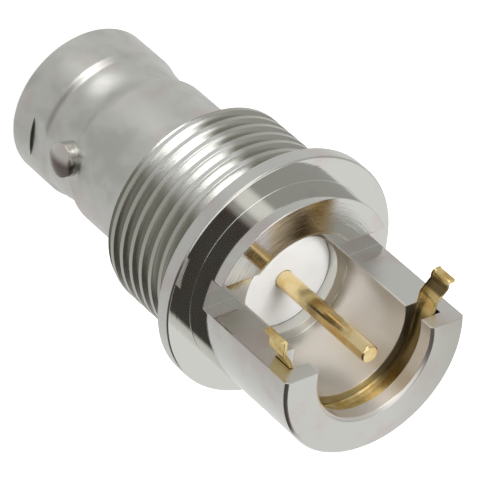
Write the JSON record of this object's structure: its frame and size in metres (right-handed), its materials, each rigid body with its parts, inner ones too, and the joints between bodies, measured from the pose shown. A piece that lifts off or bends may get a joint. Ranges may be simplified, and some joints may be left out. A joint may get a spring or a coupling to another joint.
{
  "type": "bnc connector",
  "caption": "Bayonet coaxial jack for a circuit board edge: barrel with lugs, panel thread, flange and a milled tail cradle with ground clip and centre pin.",
  "frame": {"origin": "middle of the mating face, which the connector stands on", "axes": "+Z along the axis from the mating face to the tail, +Y out of the flats of the tail, X across the two board slots"},
  "size_m": [0.015, 0.015, 0.0281],
  "materials": {
    "nickel": "turned and milled brass with bright nickel plating",
    "ptfe": "smooth white PTFE",
    "contact_gold": "gold plating on a turned pin",
    "clip_gold": "gold plating on bent spring strip"
  },
  "bodies": {
    "root": {"body": "nickel", "insulator": "ptfe", "centre_contact": "contact_gold", "ground_clip": "clip_gold"}
  },
  "joints": []
}
